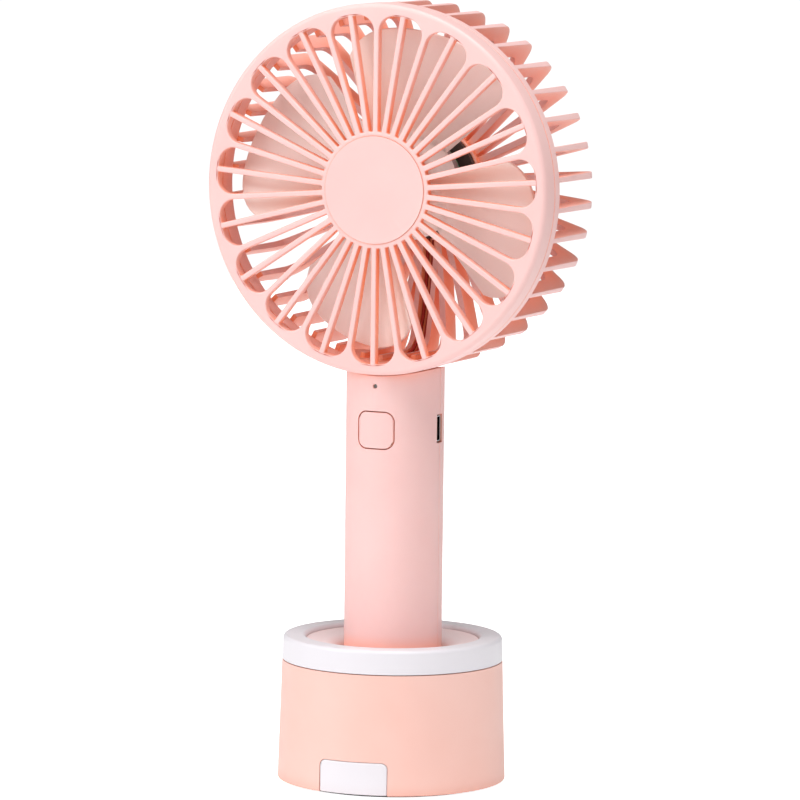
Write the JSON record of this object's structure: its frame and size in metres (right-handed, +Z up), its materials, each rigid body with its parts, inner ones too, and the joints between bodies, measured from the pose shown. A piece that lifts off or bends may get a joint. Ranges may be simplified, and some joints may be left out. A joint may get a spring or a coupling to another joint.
{
  "type": "handheld electric fan",
  "caption": "Pink cordless hand fan: round head with petal-slotted front grille, radial rear fins and broad-bladed impeller on a tube handle, standing in a round weighted desk base.",
  "frame": {"origin": "centre of the base's underside, on the surface it stands on", "axes": "+Z up along the handle, -Y the way the front grille faces and the air leaves, +X the side of the charging socket"},
  "size_m": [0.107, 0.0665, 0.2273],
  "materials": {
    "shell_pink": "satin moulded",
    "blade_pink": "satin moulded",
    "sleeve_peach": "satin moulded",
    "trim_white": "soft gloss moulded",
    "lens_clear": "translucent moulded",
    "black_plastic": "moulded",
    "switch_white": "moulded",
    "pad_foam": "closed-cell foam",
    "board_green": "solder mask",
    "cell_wrap": "shrink wrap",
    "lead_insulation": "soft insulation",
    "bright_steel": "bright plated",
    "plain_steel": "stamped",
    "ballast_iron": "as cast",
    "magnet_grey": "sintered",
    "coil_copper": "enamelled copper",
    "tube_brass": "turned",
    "bearing_bronze": "sintered"
  },
  "bodies": {
    "base": {"base_sleeve": "sleeve_peach", "base_trim_ring": "trim_white", "base_cup": "shell_pink", "base_front_tab": "trim_white", "ballast_weight": "ballast_iron", "base_bottom_plate": "trim_white", "base_screws": "bright_steel", "foot_pad": "pad_foam"},
    "fan": {"handle_front_shell": "shell_pink", "handle_rear_shell": "shell_pink", "handle_bottom_cap": "shell_pink", "handle_screws": "bright_steel", "light_pipe": "lens_clear", "circuit_board": "board_green", "board_chips": "black_plastic", "indicator_led": "lens_clear", "tact_switch": "black_plastic", "usb_socket": "bright_steel", "battery_cell": "cell_wrap", "battery_tabs": "plain_steel", "battery_leads": "lead_insulation", "motor_leads": "lead_insulation", "rear_grille": "shell_pink", "motor_base": "black_plastic", "motor_screws": "bright_steel", "bearing_tube": "tube_brass", "shaft_bearing": "bearing_bronze", "stator_core": "plain_steel", "stator_coils": "coil_copper", "driver_board": "board_green"},
    "rotor": {"impeller": "blade_pink", "rotor_cup": "plain_steel", "rotor_magnet": "magnet_grey", "motor_shaft": "bright_steel", "retaining_clip": "bright_steel"},
    "button": {"power_button": "shell_pink", "switch_plunger": "switch_white"},
    "front_cover": {"front_grille": "shell_pink", "centre_cap": "shell_pink"}
  },
  "joints": [
    {"name": "fan_lift", "type": "slide", "parent": "base", "child": "fan", "axis": [0, 0, 1], "range_m": [0, 0.04]},
    {"name": "impeller_spin", "type": "hinge", "parent": "fan", "child": "rotor", "pos_m": [0, 0, 0.1738], "axis": [0, 1, 0], "continuous": true},
    {"name": "button_press", "type": "slide", "parent": "fan", "child": "button", "axis": [0, 1, 0], "range_m": [0, 0.0004], "stiffness_N_per_m": 600, "springref_m": -0.0004},
    {"name": "front_cover_off", "type": "slide", "parent": "fan", "child": "front_cover", "axis": [0, -1, 0], "range_m": [0, 0.012]}
  ]
}
